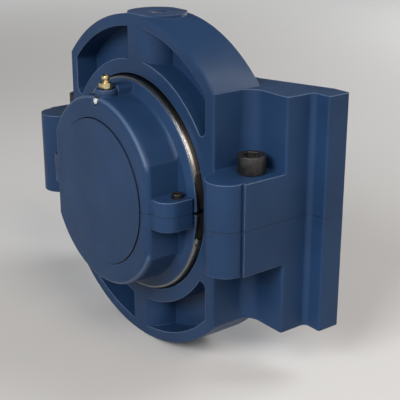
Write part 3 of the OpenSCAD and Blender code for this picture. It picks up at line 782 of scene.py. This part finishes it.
@built_once
def screw_set_tree(name):
    """Geometry nodes that repeat one screw at mirrored places and end in plain, finished geometry."""
    tree = bpy.data.node_groups.new(name, "GeometryNodeTree")
    for label, kind in (
            ("Screw", "NodeSocketObject"), ("Count", "NodeSocketInt"), ("Distance X", FLOAT),
            ("Distance Y", FLOAT), ("Middle Y", FLOAT), ("Seat Height", FLOAT), ("Turn", FLOAT),
            ("Seed", "NodeSocketInt"), ("Material", "NodeSocketMaterial")):
        tree.interface.new_socket(name=label, in_out="INPUT", socket_type=kind)
    tree.interface.new_socket(name="Geometry", in_out="OUTPUT", socket_type="NodeSocketGeometry")
    given, out = tree.nodes.new("NodeGroupInput"), tree.nodes.new("NodeGroupOutput")
    index = add(tree, "GeometryNodeInputIndex").outputs[0]
    right = calc(tree, "MODULO", index, 2.0)
    rear = calc(tree, "FLOOR", calc(tree, "DIVIDE", index, 2.0))
    side, end = (calc(tree, "MULTIPLY_ADD", one, 2.0, -1.0) for one in (right, rear))
    place = add(tree, "ShaderNodeCombineXYZ", {
        "X": calc(tree, "MULTIPLY", side, given.outputs["Distance X"]),
        "Y": calc(tree, "MULTIPLY_ADD", end, given.outputs["Distance Y"], given.outputs["Middle Y"]),
        "Z": given.outputs["Seat Height"]})
    points = add(tree, "GeometryNodePoints", {
        "Count": given.outputs["Count"], "Position": place.outputs[0]})
    source = add(tree, "GeometryNodeObjectInfo", {
        "Object": given.outputs["Screw"], "As Instance": True})
    turn = add(tree, "FunctionNodeRandomValue", data_type="FLOAT")
    put(tree, 0.0, turn.inputs[2])
    put(tree, given.outputs["Turn"], turn.inputs[3])
    put(tree, given.outputs["Seed"], turn.inputs["Seed"])
    rotation = add(tree, "ShaderNodeCombineXYZ", {"Z": turn.outputs[1]})
    placed = add(tree, "GeometryNodeInstanceOnPoints", {
        "Points": points.outputs[0], "Instance": source.outputs["Geometry"],
        "Rotation": rotation.outputs[0]})
    plain = add(tree, "GeometryNodeRealizeInstances", {"Geometry": placed.outputs[0]})
    finished = add(tree, "GeometryNodeSetMaterial", {
        "Geometry": plain.outputs[0], "Material": given.outputs["Material"]})
    put(tree, finished.outputs[0], out.inputs[0])
    return tree


def screw_set(name, node, body, screw, count, head, height, material, seed):
    """Repeats a screw where the CAD node has its screws, and stands for that node."""
    low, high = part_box(node)
    carrier = show(name, bpy.data.meshes.new(name))
    modifier = carrier.modifiers.new("screws", "NODES")
    modifier.node_group = screw_set_tree()
    values = {
        "Screw": screw, "Count": count, "Distance X": high.x - head,
        "Distance Y": (high.y - low.y) / 2 - head, "Middle Y": (low.y + high.y) / 2,
        "Seat Height": high.z - height, "Turn": math.radians(60), "Seed": seed, "Material": material}
    for item in modifier.node_group.interface.items_tree:
        if item.item_type == "SOCKET" and item.in_out == "INPUT":
            modifier[item.identifier] = values[item.name]
    graph = bpy.context.evaluated_depsgraph_get()
    graph.update()
    mesh = bpy.data.meshes.new_from_object(carrier.evaluated_get(graph))
    if len(mesh.vertices) != count * len(screw.data.vertices):
        raise RuntimeError(name + ": the screws were not all made")
    carrier.modifiers.clear()
    carrier.data = mesh
    if not mesh.materials:
        mesh.materials.append(material)
    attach(carrier, body)
    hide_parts(node)
    return carrier


def grease_nipple_mesh(low, high):
    """A ball-head grease nipple: thread, chamfered hexagon, collar, neck, head and check ball."""
    foot = high.z - NIPPLE_HEIGHT
    flats = high.y - low.y
    thread = round_radius(4.25 * MM)
    hexagon = hex_radius(flats, high.x)
    cut_hexagon = hex_radius(flats, flats / 2 + 0.25 * MM)
    rings = [
        (low.z, round_radius(3.6 * MM)), (low.z + 0.7 * MM, thread), (foot + 0.5 * MM, thread),
        (foot + 0.5 * MM, round_radius(flats / 2 - 0.1 * MM)), (foot + 0.52 * MM, cut_hexagon),
        (foot + 1.05 * MM, hexagon), (foot + 4.85 * MM, hexagon), (foot + 5.36 * MM, cut_hexagon),
        (foot + 5.4 * MM, round_radius(flats / 2 - 0.25 * MM)),
        (foot + 5.4 * MM, round_radius(3.5 * MM)),
    ]
    collar_and_neck = [(6.3, 3.4), (6.6, 3.1), (7.1, 2.7), (7.6, 2.75), (8.1, 3.1)]
    head = [
        (8.6, 3.5), (9.1, 3.72), (9.8, 3.8), (10.6, 3.8), (11.3, 3.65), (11.8, 3.35), (12.1, 3.0),
        (12.25, 2.65), (12.3, 2.2), (12.3, 1.2)]
    check_ball = [(12.15, 1.05), (11.9, 0.98), (11.9, 0.95), (12.05, 0.78), (12.15, 0.5), (12.2, 0.2)]
    for height, radius in collar_and_neck + head + check_ball:
        rings.append((foot + height * MM, round_radius(radius * MM)))
    form = lathe(rings, 72)
    bmesh.ops.translate(form, verts=form.verts, vec=(0, (low.y + high.y) / 2, 0))
    return finish_mesh("grease_nipple_piece", form)


def gallery_plug_mesh(low, high):
    """A short pressed plug along the bearing axis, with a rounded rim and a centre mark in front."""
    radius = high.x
    long = high.y - low.y
    rim = [(0.7, 1.0), (0.4, 0.985), (0.18, 0.95), (0.06, 0.9), (0.0, 0.84)]
    centre_mark = [(0.0, 0.22), (0.15, 0.18), (0.4, 0.06)]
    rings = [(0, round_radius(radius * 0.8)), (long * 0.1, round_radius(radius))]
    for drop, share in rim + centre_mark:
        rings.append((long - drop * MM, round_radius(radius * share)))
    form = lathe(rings, 72)
    face_front = Matrix.Rotation(math.radians(90), 4, "X")
    place = Matrix.Translation((0, high.y, (low.z + high.z) / 2))
    bmesh.ops.transform(form, matrix=place @ face_front, verts=form.verts)
    return finish_mesh("gallery_plug_piece", form)


# Floor, room, lights and camera

# Upward part of a reflection's direction, where the pale room begins to show and shows fully
ROOM_BEGINS, ROOM_FULL = 0.26, 0.10
COOL, WARM = (1.0, 1.0, 1.0), (1.0, 0.87, 0.74)
# Each light's setting and name, its angles right of the front and over the floor, and its colour
LIGHTS = (
    ("key", "key_light", math.radians(20), math.radians(31), COOL),
    ("side", "side_light", math.radians(80), math.radians(40), WARM),
    ("back", "back_light", math.radians(152), math.radians(48), COOL),
    ("rear", "rear_light", math.radians(186), math.radians(12), COOL),
)


def floor_mesh(settings):
    """A round floor under the bearing, which glows like the room where it is far off."""
    form = bmesh.new()
    bmesh.ops.create_circle(form, cap_ends=True, radius=settings.floor_radius, segments=96)
    bmesh.ops.translate(form, verts=form.verts, vec=(0, 0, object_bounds()[0][2]))
    mesh = bpy.data.meshes.new("floor")
    form.to_mesh(mesh)
    form.free()
    material, tree, shader, at = new_material("plain_floor")
    x, y = split_axes(tree, at)[:2]
    seen = seen_ray(tree)
    far = step(tree, around_axis(tree, x, y), settings.fade_start, settings.fade_end)
    dimmed, = shades(settings.floor, settings.floor_return)
    put(tree, mixed(tree, seen, dimmed, settings.floor), shader.inputs["Base Color"])
    put(tree, product(tree, seen, far, settings.backdrop), shader.inputs["Emission Strength"])
    shader.inputs["Emission Color"].default_value = (1, 1, 1, 1)
    shader.inputs["Roughness"].default_value = 0.9
    shader.inputs["Specular IOR Level"].default_value = 0.1
    mesh.materials.append(material)
    return mesh


def room(settings):
    """A dim, even room; the eye sees it pale, and reflections do so only low over the horizon."""
    world = bpy.data.worlds.new("room")
    world.use_nodes = True
    tree = world.node_tree
    tree.nodes.clear()
    direction = add(tree, "ShaderNodeTexCoord").outputs["Generated"]
    up = split_axes(tree, direction)[2]
    low_part = product(tree, seen_ray(tree), step(tree, up, ROOM_BEGINS, ROOM_FULL))
    path = add(tree, "ShaderNodeLightPath")
    pale = calc(tree, "MAXIMUM", low_part, path.outputs["Is Camera Ray"])
    strength = mixed_value(tree, pale, settings.sky, settings.backdrop)
    even = add(tree, "ShaderNodeBackground", {"Color": (0.97, 0.98, 1.0, 1), "Strength": strength})
    out = add(tree, "ShaderNodeOutputWorld")
    put(tree, even.outputs[0], out.inputs["Surface"])
    return world


def hang_light(settings, name, side, height, power, tint):
    """Hangs a soft square light that faces the bearing."""
    lamp = bpy.data.lights.new(name, "AREA")
    lamp.color = tint
    lamp.size = settings.light_size
    lamp.energy = power
    place = settings.light_distance * Vector((
        math.sin(side) * math.cos(height), -math.cos(side) * math.cos(height), math.sin(height)))
    holder = show(name, lamp)
    holder.location = place
    holder.rotation_euler = (-place).to_track_quat("-Z", "Y").to_euler()


def set_camera(settings):
    """The camera, where the photograph was taken from."""
    lens = bpy.data.cameras.new("camera")
    lens.sensor_fit = "HORIZONTAL"
    lens.sensor_width = 36.0
    lens.lens = settings.lens
    lens.clip_start, lens.clip_end = 0.01, 50.0
    camera = show("camera", lens)
    camera.location = settings.camera_place
    camera.rotation_euler = (math.pi / 2 - settings.camera_drop, 0.0, settings.camera_side)
    return camera


# Operators, one for each group of pieces and one for the stage

class BEARING_OT_castings(bpy.types.Operator):
    """Paint the housing halves, the cartridge halves and the closing disc"""
    bl_idname = "bearing.castings"
    bl_label = "Painted castings"

    def execute(self, context):
        settings = context.scene.bearing_paint
        housing = cast_paint("housing_paint", settings, settings.edge_radius, lifting_hole=True)
        cartridge = cast_paint(
            "cartridge_paint", settings, settings.edge_radius, seat=True, disc_gap=True)
        disc = cast_paint(
            "disc_paint", settings, settings.disc_edge_radius, joint=False, disc_gap=True)
        for node in HOUSING_NODES:
            dress(node, housing)
        for node in CARTRIDGE_NODES:
            dress(node, cartridge)
        dress("end_disc", disc)
        return {"FINISHED"}


class BEARING_OT_screws(bpy.types.Operator):
    """Make the socket cap screws of the lugs, the ears and the clamp rings"""
    bl_idname = "bearing.screws"
    bl_label = "Cap screws"

    def execute(self, context):
        sizes = context.scene.bearing_screws
        material = black_oxide(context.scene.bearing_metal)
        plans = (
            ("housing_screw_set", "housing_screws", "housing", 2,
             sizes.big_head, sizes.big_height, sizes.big_socket, 1.0, 72, 3),
            ("cartridge_screw_set", "cartridge_screws", "cartridge", 4,
             sizes.ear_head, sizes.ear_height, sizes.ear_socket, 0.7, 36, 5),
            ("clamp_screw_set", "clamp_screws", "inner_ring", 4,
             sizes.clamp_head, sizes.clamp_height, sizes.clamp_socket, 0.7, 36, 8))
        for name, node, body, count, head, height, flats, knurl, flutes, seed in plans:
            low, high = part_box(node)
            mesh = cap_screw_mesh(
                name + "_one", head, height, flats, flats * SHANK, high.z - height - low.z,
                sizes.knurl_depth * knurl, flutes)
            screw = show(name + "_one", mesh)
            screw_set(name, node, body, screw, count, head, height, material, seed)
            bpy.data.objects.remove(screw)
        return {"FINISHED"}


class BEARING_OT_nipple(bpy.types.Operator):
    """Make the grease nipple and the plug of the grease gallery"""
    bl_idname = "bearing.nipple"
    bl_label = "Grease nipple and plug"

    def execute(self, context):
        metal = context.scene.bearing_metal
        nipple_box, plug_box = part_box("grease_nipple"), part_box("gallery_plug")
        plug_height = (plug_box[0].z + plug_box[1].z) / 2
        zinc = metal_finish("yellow_zinc", metal.zinc, 0.25, 0.06, 1500.0, 0.003 * MM, 0.3 * MM)
        bright = metal_finish(
            "bright_plug", metal.bright, 0.42, 0.06, 1800.0, 0.004 * MM, 0.2 * MM, plug_height)
        for mesh, node, material, slot in (
                (grease_nipple_mesh(*nipple_box), "grease_nipple", zinc, "brass"),
                (gallery_plug_mesh(*plug_box), "gallery_plug", bright, "bright_steel")):
            mesh.materials.append(material)
            piece = show(node + "_piece", mesh)
            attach(piece, "cartridge")
            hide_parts(node)
        return {"FINISHED"}


class BEARING_OT_bearing(bpy.types.Operator):
    """Finish the rings, rollers, cage, clamp rings, dowels, seal carrier and felts"""
    bl_idname = "bearing.bearing"
    bl_label = "Bearing and seal"

    def execute(self, context):
        metal = context.scene.bearing_metal
        ground = metal_finish("ground_steel", metal.ground, 0.18, 0.10, 3000.0, 0.008 * MM)
        turned = metal_finish("turned_steel", metal.turned, 0.32, 0.12, 1600.0, 0.03 * MM)
        brass = metal_finish("cage_brass", metal.brass, 0.34, 0.12, 1400.0, 0.02 * MM)
        felt = oiled_felt(metal)
        rollers = [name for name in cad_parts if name.startswith("roller_")]
        if not rollers:
            raise RuntimeError("the packed model has no rollers")
        for nodes, material in (
                (GROUND_NODES + tuple(rollers), ground), (TURNED_NODES, turned), (CAGE_NODES, brass),
                (("seal_felts",), felt)):
            for node in nodes:
                dress(node, material)
        return {"FINISHED"}


class BEARING_OT_stage(bpy.types.Operator):
    """Make the floor, the lights, the room and the camera"""
    bl_idname = "bearing.stage"
    bl_label = "Stage"

    def execute(self, context):
        scene = context.scene
        settings = scene.bearing_stage
        show("floor", floor_mesh(settings))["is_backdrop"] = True
        scene.world = room(settings)
        for setting, name, side, height, tint in LIGHTS:
            hang_light(settings, name, side, height, getattr(settings, setting), tint)
        scene.camera = set_camera(settings)
        scene.view_settings.view_transform = "Standard"
        return {"FINISHED"}


class BEARING_PT_panel(bpy.types.Panel):
    """Lists the pieces of the bearing unit and their sizes"""
    bl_label = "Split roller bearing"
    bl_idname = "BEARING_PT_panel"
    bl_space_type = "VIEW_3D"
    bl_region_type = "UI"
    bl_category = "Bearing"

    def draw(self, context):
        for operator, group in PANEL_ROWS:
            box = self.layout.box()
            box.operator(operator.bl_idname)
            settings = getattr(context.scene, group)
            for setting in settings.__annotations__:
                box.prop(settings, setting)


PANEL_ROWS = (
    (BEARING_OT_castings, "bearing_paint"),
    (BEARING_OT_screws, "bearing_screws"),
    (BEARING_OT_nipple, "bearing_metal"),
    (BEARING_OT_bearing, "bearing_metal"),
    (BEARING_OT_stage, "bearing_stage"),
)
SETTINGS = (
    ("bearing_paint", PaintSettings), ("bearing_metal", MetalSettings),
    ("bearing_screws", ScrewSettings), ("bearing_stage", StageSettings),
)
OPERATORS = tuple(row[0] for row in PANEL_ROWS)


def register():
    """Registers the classes and hangs the settings on the scene."""
    for name, group in SETTINGS:
        bpy.utils.register_class(group)
        setattr(bpy.types.Scene, name, bpy.props.PointerProperty(type=group))
    for operator in OPERATORS:
        bpy.utils.register_class(operator)
    bpy.utils.register_class(BEARING_PT_panel)


def unregister():
    """Takes back what register did."""
    bpy.utils.unregister_class(BEARING_PT_panel)
    for operator in reversed(OPERATORS):
        bpy.utils.unregister_class(operator)
    for name, group in reversed(SETTINGS):
        delattr(bpy.types.Scene, name)
        bpy.utils.unregister_class(group)


def main():
    """Makes everything in order."""
    register()
    for call in (
            bpy.ops.bearing.castings, bpy.ops.bearing.screws, bpy.ops.bearing.nipple,
            bpy.ops.bearing.bearing, bpy.ops.bearing.stage):
        call()


if __name__ == "__main__":
    main()
